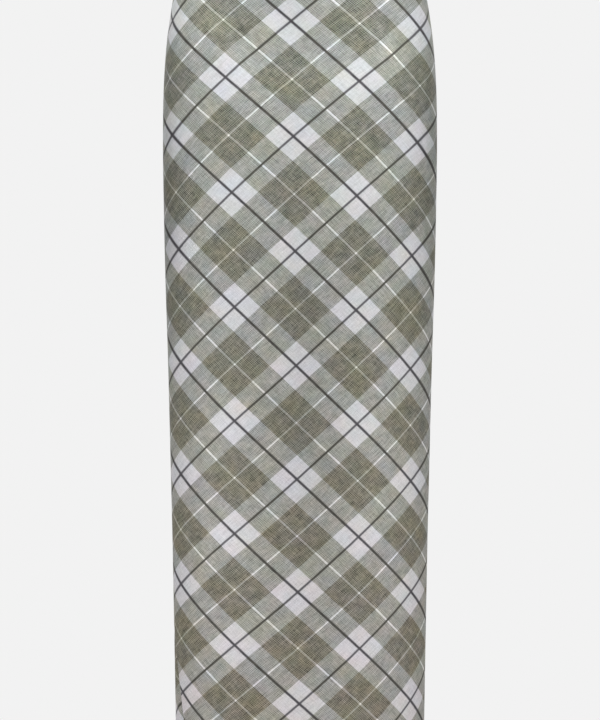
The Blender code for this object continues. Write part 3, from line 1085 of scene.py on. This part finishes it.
# Colours of the check, linear
PALE = (0.522, 0.517, 0.527, 1.0)
PANES = {"A": (0.064, 0.061, 0.067, 1.0), "B": (0.094, 0.091, 0.099, 1.0)}
PANES_ON_OLIVE = {"A": (0.058, 0.055, 0.048, 1.0), "B": (0.058, 0.055, 0.046, 1.0)}
OLIVE_SHARES = {"A": (0.527, 0.535, 0.467, 1.0), "B": (0.530, 0.538, 0.488, 1.0)}
WHITE_SHARES = {"A": (1.175, 1.188, 1.130, 1.0), "B": (1.178, 1.198, 1.162, 1.0)}
WHITE_ON_OLIVE = (0.955, 0.925, 0.945, 1.0)
PLAIN_SHARE = (1.0, 1.0, 1.0, 1.0)
GREEN_CAST = (0.92, 1.00, 1.00, 1.0)
BROWN_CAST = (1.08, 1.00, 1.00, 1.0)
# The olive crossings' own browner tint, with a painted cast of the light, warmer below and cooler above;
# then a painted light cast over all the cloth, warmer below and cooler above
CROSSING_TINT_AND_WARM_LIGHT_BELOW = (1.126, 1.034, 0.990, 1.0)
CROSSING_TINT_AND_COOL_LIGHT_ABOVE = (1.066, 1.036, 1.030, 1.0)
PAINTED_WARM_LIGHT_BELOW = (1.028, 0.997, 0.997, 1.0)
PAINTED_COOL_LIGHT_ABOVE = (0.970, 1.003, 1.006, 1.0)

# Colours of the zip and the thread, linear, from darker to paler where there are two
TAPE_COLOUR = (0.30, 0.30, 0.25, 1.0)
THREAD_COLOURS = ((0.36, 0.36, 0.31, 1.0), (0.60, 0.60, 0.54, 1.0))
COIL_COLOURS = ((0.20, 0.205, 0.165, 1.0), (0.27, 0.272, 0.225, 1.0))
METAL_COLOURS = ((0.42, 0.41, 0.38, 1.0), (0.62, 0.61, 0.58, 1.0))

# Bands of a repeat: half width of the pane line, middle and half width of the olive band and the white line
BANDS = {
    "A": (0.0161, 0.5025, 0.2805, 0.5030, 0.0098),
    "B": (0.0129, 0.4975, 0.2925, 0.5000, 0.0085),
}
BAND_SOFTNESS = 0.006
PANE_SOFTNESS = {"A": 0.0095, "B": 0.0085}

# The pane lines' threads spread towards the sides: distance from the middle, softness, how much wider
PANES_SPREAD = (0.1440, 0.0240, 0.45)

# Threads: ribs in a repeat, how finely its streaks lie across and along, the plane of each family's noise,
# and how far a band wavers, as gain and start
RIBS = {"A": 47.0, "B": 52.0}
STREAK_SCALE = (88.0, 7.0)
STREAK_PLANES = {"A": 0.0, "B": 7.3}
WAVER = (0.006, -0.003)

# Noise on the check's plane: scale, detail, roughness
PATCH_NOISE = (9.0, 5.0, 0.62)
WAVER_NOISE = (9.0, 2.0)
DRIFT_NOISE = (3.6, 2.0)
FLECK_NOISE = (60.0, 3.0, 0.7)
STREAK_NOISE = (1.0, 2.0, 0.55)

# How strong the changes are on a family's own olive bands, on the other family's, and everywhere
STREAK_SHARES = (0.56, 0.38, 0.46)
RIB_SHARES = {"A": (0.160, 0.130, 0.020), "B": (0.200, 0.130, 0.020)}

# Gain and start: the olive bands by their streaks, flecks and the drift of blue by the olive under them,
# all changes by the white lines, and the drift of red by its noise
OLIVE_STREAKS = (-0.34, 1.17)
FLECKS = (0.28, 0.52)
BLUE_DRIFT = (0.12, 0.20)
WHITE_STEADY = (-0.55, 1.0)
RED_DRIFT = (0.21, 0.895)

# How strongly patches show on the olive bands and in the pane lines, and the painted light and shade in the
# pane lines
PATCHES = 0.42
PANE_PATCHES = (("B", 0.9), ("A", 2.0))
PANE_PAINTED_LIGHT_SHADE = 1.6

# Share of the height, from 0 below to 1 above, as gain and start
HEIGHT_SHARE = (1.163, 1.128)


def distance_from(tree, count, middle):
    """Distance of a repeat count from the nearest middle."""
    return calc(tree, "ABSOLUTE", calc(tree, "WRAP", calc(tree, "SUBTRACT", count, middle), 0.5, -0.5))


def family_share(tree, count, family, streak, spread):
    """What one family of bands does to the cloth's colour, and where its pane, olive and white lines lie."""
    pane_half, olive_middle, olive_half, white_middle, white_half = BANDS[family]
    olive = within(tree, distance_from(tree, count, olive_middle), olive_half, BAND_SOFTNESS)
    olive = calc(tree, "MULTIPLY", olive, calc(tree, "MULTIPLY_ADD", streak, *OLIVE_STREAKS))
    white = within(tree, distance_from(tree, count, white_middle), white_half, BAND_SOFTNESS)
    from_pane = calc(tree, "DIVIDE", distance_from(tree, count, 0.0), spread)
    pane = within(tree, from_pane, pane_half, PANE_SOFTNESS[family])
    share = blend_colours(tree, olive, PLAIN_SHARE, OLIVE_SHARES[family])
    return blend_colours(tree, white, share, WHITE_SHARES[family]), pane, olive, white


def change_share(tree, own_olive, other_olive, shares):
    """How strong a change of a family's threads is, by the olive bands that it lies on."""
    on_own, on_other, everywhere = shares
    share = calc(tree, "MULTIPLY_ADD", own_olive, on_own, everywhere)
    return calc(tree, "MULTIPLY_ADD", other_olive, on_other, share)


def cloth_material():
    """The woven check: two families of olive bands, pane lines and white lines, slubs and fine ribs."""
    material, tree, shader = new_material("check_cloth", 0.86)
    shader.inputs["Specular IOR Level"].default_value = 0.22
    shader.inputs["Sheen Weight"].default_value = 0.03
    shader.inputs["Sheen Roughness"].default_value = 0.45
    count_a, count_b, _ = split_vector(tree, sheet_place(tree))
    sideways, _, height = split_vector(tree, object_place(tree))
    plane = combine(tree, count_a, count_b, 0.0)
    mottle = noise(tree, plane, *PATCH_NOISE)
    waver = calc(tree, "MULTIPLY_ADD", noise(tree, plane, *WAVER_NOISE), *WAVER)
    reach, softness, wider = PANES_SPREAD
    near_middle = within(tree, calc(tree, "ABSOLUTE", sideways), reach, softness)
    spread = calc(tree, "MULTIPLY_ADD", near_middle, -wider, 1 + wider)
    shares, panes, olives, whites, streaks, ribs = {}, {}, {}, {}, {}, {}
    for family, count, other_count in (("A", count_a, count_b), ("B", count_b, count_a)):
        fast = calc(tree, "MULTIPLY", count, STREAK_SCALE[0])
        slow = calc(tree, "MULTIPLY", other_count, STREAK_SCALE[1])
        streaks[family] = noise(tree, combine(tree, fast, slow, STREAK_PLANES[family]), *STREAK_NOISE)
        ribs[family] = calc(tree, "SINE", calc(tree, "MULTIPLY", count, 2 * math.pi * RIBS[family]))
        found = family_share(tree, calc(tree, "ADD", count, waver), family, streaks[family], spread)
        shares[family], panes[family], olives[family], whites[family] = found
    coloured = calc(tree, "ADD", olives["A"], olives["B"])
    tinted = calc(tree, "MINIMUM", coloured, 1.0)
    crossing = calc(tree, "MULTIPLY", olives["A"], olives["B"])
    white = calc(tree, "MAXIMUM", whites["A"], whites["B"])

    # The pale ground takes the colours of both families, greener and browner in patches
    colour = times_colour(tree, PALE, times_colour(tree, shares["A"], shares["B"]))
    hue = blend_colours(tree, mottle, GREEN_CAST, BROWN_CAST)
    colour = blend_colours(tree, tinted, colour, times_colour(tree, colour, hue))
    # The olive crossings keep their own browner tint, with a painted cast of the light that is warmer below
    # and cooler above
    height_share = calc(tree, "MULTIPLY_ADD", height, *HEIGHT_SHARE, clamp=True)
    crossing_tint_and_light_cast = blend_colours(tree, height_share, CROSSING_TINT_AND_WARM_LIGHT_BELOW, CROSSING_TINT_AND_COOL_LIGHT_ABOVE)
    cast = blend_colours(tree, white, crossing_tint_and_light_cast, WHITE_ON_OLIVE)
    colour = blend_colours(tree, crossing, colour, times_colour(tree, colour, cast))

    # Its hue drifts slowly, and a painted cast of the light makes it warmer below and cooler above
    red_drift = calc(tree, "MULTIPLY_ADD", noise(tree, plane, *DRIFT_NOISE), *RED_DRIFT)
    blue_drift = about_zero(tree, noise(tree, combine(tree, count_b, count_a, 4.0), *DRIFT_NOISE))
    blue_reach = calc(tree, "MULTIPLY_ADD", coloured, *BLUE_DRIFT)
    blue_drift = calc(tree, "MULTIPLY_ADD", blue_drift, blue_reach, 1.0)
    colour = times_colour(tree, colour, combine(tree, red_drift, 1.0, blue_drift))
    colour = times_colour(tree, colour, blend_colours(tree, height_share, PAINTED_WARM_LIGHT_BELOW, PAINTED_COOL_LIGHT_ABOVE))

    # Flecks, patches, slubby streaks and ribs, strongest on the olive threads, and the painted light and
    # shade
    fleck = about_zero(tree, noise(tree, plane, *FLECK_NOISE))
    changes = calc(tree, "MULTIPLY", fleck, calc(tree, "MULTIPLY_ADD", coloured, *FLECKS))
    patch = about_zero(tree, mottle)
    changes = calc(tree, "MULTIPLY_ADD", patch, calc(tree, "MULTIPLY", coloured, PATCHES), changes)
    for family, other in (("A", "B"), ("B", "A")):
        own_and_other = (olives[family], olives[other])
        streak = about_zero(tree, streaks[family])
        streak_share = change_share(tree, *own_and_other, STREAK_SHARES)
        changes = calc(tree, "MULTIPLY_ADD", streak, streak_share, changes)
        rib_share = change_share(tree, *own_and_other, RIB_SHARES[family])
        changes = calc(tree, "MULTIPLY_ADD", ribs[family], rib_share, changes)
    threads = calc(tree, "MULTIPLY_ADD", changes, calc(tree, "MULTIPLY_ADD", white, *WHITE_STEADY), 1.0)
    # The attribute holds painted light and shade, which brightens or darkens the cloth's colour
    painted_light_shade = tree.nodes.new("ShaderNodeAttribute")
    painted_light_shade.attribute_name = "painted_light_shade"
    tone = painted_light_shade.outputs["Fac"]
    colour = brighten(tree, colour, calc(tree, "MULTIPLY", threads, calc(tree, "ADD", 1.0, tone)))

    # The dark pane lines lie over all of it
    for family, change in PANE_PATCHES:
        uneven = calc(tree, "MULTIPLY_ADD", patch, change, 1.0)
        # The pane lines take the painted light and shade too
        uneven = calc(tree, "MULTIPLY", uneven, calc(tree, "MULTIPLY_ADD", tone, PANE_PAINTED_LIGHT_SHADE, 1.0))
        dark = brighten(tree, blend_colours(tree, tinted, PANES[family], PANES_ON_OLIVE[family]), uneven)
        colour = blend_colours(tree, panes[family], colour, dark)
    tree.links.new(colour, shader.inputs["Base Color"])
    both_ribs = calc(tree, "ADD", ribs["A"], ribs["B"])
    relief = calc(tree, "MULTIPLY_ADD", both_ribs, 0.25, calc(tree, "ADD", streaks["A"], streaks["B"]))
    add_bump(tree, shader, relief, 0.35, 0.00025)
    return material


def plain_weave_material(name, colour, ribs, roughness):
    """A narrow woven tape: fine ribs across and a slight fleck."""
    material, tree, shader = new_material(name, roughness)
    place = sheet_place(tree)
    across, along = (calc(tree, "SINE", calc(tree, "MULTIPLY", way, 2 * math.pi * ribs))
                     for way in split_vector(tree, place)[:2])
    weave = calc(tree, "MULTIPLY", across, along)
    fleck = noise(tree, place, 22.0, 3.0)
    light = tuple(min(1.0, channel * 1.18) for channel in colour[:3]) + (1.0,)
    dark = tuple(channel * 0.80 for channel in colour[:3]) + (1.0,)
    share = calc(tree, "MULTIPLY_ADD", weave, 0.3, fleck, clamp=True)
    colour_shader(tree, shader, share, dark, light)
    add_bump(tree, shader, weave, 0.5, 0.0001)
    return material


def thread_material():
    """Twisted polyester thread."""
    material, tree, shader = new_material("sewing_thread", 0.55)
    shader.inputs["Sheen Weight"].default_value = 0.1
    twist = noise(tree, object_place(tree), 2600.0, 2.0)
    colour_shader(tree, shader, twist, *THREAD_COLOURS)
    add_bump(tree, shader, twist, 0.4, 0.0001)
    return material


def coil_material():
    """Moulded nylon, with a faint bloom."""
    material, tree, shader = new_material("zip_coil_nylon", 0.42)
    bloom = noise(tree, object_place(tree), 420.0, 3.0)
    colour_shader(tree, shader, bloom, *COIL_COLOURS)
    add_bump(tree, shader, noise(tree, object_place(tree), 1400.0, 2.0), 0.15, 0.0001)
    return material


def metal_material():
    """Dull plated zip metal, tumbled, with fine scuffs."""
    material, tree, shader = new_material("zip_metal_plated", 0.36)
    shader.inputs["Metallic"].default_value = 1.0
    stretch = tree.nodes.new("ShaderNodeMapping")
    stretch.inputs["Scale"].default_value = (900.0, 900.0, 160.0)
    tree.links.new(object_place(tree), stretch.inputs["Vector"])
    scuff = noise(tree, stretch.outputs[0], 1.0, 4.0, 0.6)
    colour_shader(tree, shader, scuff, *METAL_COLOURS)
    tree.links.new(calc(tree, "MULTIPLY_ADD", scuff, 0.22, 0.26), shader.inputs["Roughness"])
    add_bump(tree, shader, scuff, 0.12, 0.0001)
    return material


# Studio: the floor fades out between two distances from the origin
FLOOR_HEIGHT = -1.10
FLOOR_RADIUS = 0.75
FLOOR_FADES_FROM = 1.14
FLOOR_FADES_TO = 1.32
BACKGROUND = 0.888
GIVEN_LIGHT = 0.60
CAMERA_LENS = 125.0
CAMERA_PLACE = (0.0, -3.084, -0.54)

# Soft square lights: name, place, aim, size, power, spread in degrees
LIGHTS = (
    ("front_left_softbox", (-1.3, -2.4, -0.45), (0, 0, -0.60), 1.2, 17.0, 180),
    ("front_right_softbox", (1.3, -2.4, -0.45), (0, 0, -0.60), 1.2, 17.0, 180),
    ("overhead_softbox", (0.0, -0.9, 1.0), (0, 0, -0.2), 0.7, 12.0, 180),
    ("left_hip_softbox", (-0.26, -0.75, 0.35), (-0.09, -0.09, -0.10), 0.25, 0.07, 32),
    ("right_hip_softbox", (0.26, -0.75, 0.35), (0.09, -0.09, -0.10), 0.25, 0.07, 32),
    ("back_left_softbox", (-1.3, 2.4, 0.25), (0, 0, -0.50), 1.2, 20.0, 180),
    ("back_right_softbox", (1.3, 2.4, 0.25), (0, 0, -0.50), 1.2, 20.0, 180),
)


def floor_material():
    """Pale studio floor that fades out away from the skirt."""
    material, tree, shader = new_material("studio_floor", 0.9)
    shader.inputs["Base Color"].default_value = (0.72, 0.72, 0.72, 1.0)
    away = tree.nodes.new("ShaderNodeVectorMath")
    away.operation = "LENGTH"
    tree.links.new(object_place(tree), away.inputs[0])
    fade = tree.nodes.new("ShaderNodeMapRange")
    fade.interpolation_type = "SMOOTHERSTEP"
    fade.inputs["From Min"].default_value = FLOOR_FADES_FROM
    fade.inputs["From Max"].default_value = FLOOR_FADES_TO
    fade.inputs["To Min"].default_value = 1.0
    fade.inputs["To Max"].default_value = 0.0
    tree.links.new(away.outputs["Value"], fade.inputs["Value"])
    tree.links.new(fade.outputs["Result"], shader.inputs["Alpha"])
    return material


def finish_piece(piece, body, slot, *nodes):
    """A finished piece rides on a body and stands for its nodes, which it hides. Its slot is not used."""
    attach(piece, body)
    if nodes:
        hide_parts(*nodes)


def cut_area(side):
    """Area of a panel's cut that shows."""
    heights = np.linspace(BAND_FOOT, HEM, 200)
    shown = 2 * seam_distance(side, heights) - (slit_opening(heights) if side == FRONT else 0.0)
    return float(np.trapz(shown[::-1], heights[::-1]))


def build_skirt():
    """Every piece of the skirt, on its body."""
    cloth = cloth_material()
    tape = plain_weave_material("zip_tape_weave", TAPE_COLOUR, 14.0, 0.85)
    front = build_panel("front_panel_cloth", FRONT, cloth)
    back = build_panel("back_panel_cloth", BACK, cloth)
    band = build_waistband(cloth)
    tape_front = build_tape("zip_tape_woven_front", FRONT, tape)
    tape_back = build_tape("zip_tape_woven_back", BACK, tape)
    coil = build_coil(coil_material())
    thread = thread_material()
    sewn = (
        ("front_overlock_threads", overlock_panel(FRONT)),
        ("back_overlock_threads", overlock_panel(BACK)),
        ("hem_threads", overlock_hem(FRONT) + overlock_hem(BACK)),
        ("waistband_threads", waistband_stitches(FRONT) + waistband_stitches(BACK)),
        ("zip_threads", zip_stitches(FRONT) + zip_stitches(BACK)),
    )
    for name, runs in sewn:
        finish_piece(thread_mesh(name, runs, thread), "skirt", "zip_tape")
    finish_piece(front, "skirt", "check_cloth", "front_panel")
    finish_piece(back, "skirt", "check_cloth", "back_panel")
    finish_piece(band, "skirt", "check_cloth", "waistband")
    finish_piece(tape_front, "skirt", "zip_tape", "zip_tape_front")
    finish_piece(tape_back, "skirt", "zip_tape", "zip_tape_back")
    finish_piece(coil, "skirt", "zip_coil", "zip_coil")
    cut_area(FRONT)
    cut_area(BACK)
    metal = metal_material()
    for name in ("zip_slider", "zip_pull"):
        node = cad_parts[name]
        node.data.materials.clear()
        node.data.materials.append(metal)


def area_light(name, place, aim, size, power, spread):
    """A soft square light turned towards a point."""
    light = bpy.data.lights.new(name, "AREA")
    light.shape = "SQUARE"
    light.size = size
    light.energy = power
    light.spread = math.radians(spread)
    thing = add_object(name, light)
    thing.location = place
    thing.rotation_euler = (Vector(aim) - Vector(place)).to_track_quat("-Z", "Y").to_euler()


def surroundings(tree):
    """Pale surroundings that show at full brightness and light the skirt more softly than that."""
    seen = tree.nodes["Background"]
    seen.inputs["Color"].default_value = (BACKGROUND, BACKGROUND, BACKGROUND, 1.0)
    given = tree.nodes.new("ShaderNodeBackground")
    given.inputs["Color"].default_value = (GIVEN_LIGHT, GIVEN_LIGHT, GIVEN_LIGHT, 1.0)
    choose = tree.nodes.new("ShaderNodeMixShader")
    rays = tree.nodes.new("ShaderNodeLightPath")
    tree.links.new(rays.outputs["Is Camera Ray"], choose.inputs[0])
    tree.links.new(given.outputs[0], choose.inputs[1])
    tree.links.new(seen.outputs[0], choose.inputs[2])
    tree.links.new(choose.outputs[0], tree.nodes["World Output"].inputs["Surface"])


def build_studio():
    """Camera, soft lights, pale surroundings and the floor."""
    scene = bpy.context.scene
    camera = bpy.data.cameras.new("photo_camera")
    camera.lens = CAMERA_LENS
    camera.sensor_width = 36.0
    scene.camera = add_object("photo_camera", camera)
    scene.camera.location = CAMERA_PLACE
    scene.camera.rotation_euler = (math.pi / 2, 0.0, 0.0)
    scene.view_settings.view_transform = "Standard"
    world = bpy.data.worlds.new("studio")
    scene.world = world
    world.use_nodes = True
    surroundings(world.node_tree)
    for light in LIGHTS:
        area_light(*light)
    deselect_all()
    bpy.ops.mesh.primitive_circle_add(vertices=96, radius=FLOOR_RADIUS, fill_type="NGON",
                                      location=(0, 0, FLOOR_HEIGHT))
    floor = bpy.context.object
    floor.name = "studio_floor"
    bpy.ops.object.transform_apply(location=True, rotation=True, scale=True)
    floor.data.materials.append(floor_material())


deselect_all()
build_studio()
build_skirt()
deselect_all()
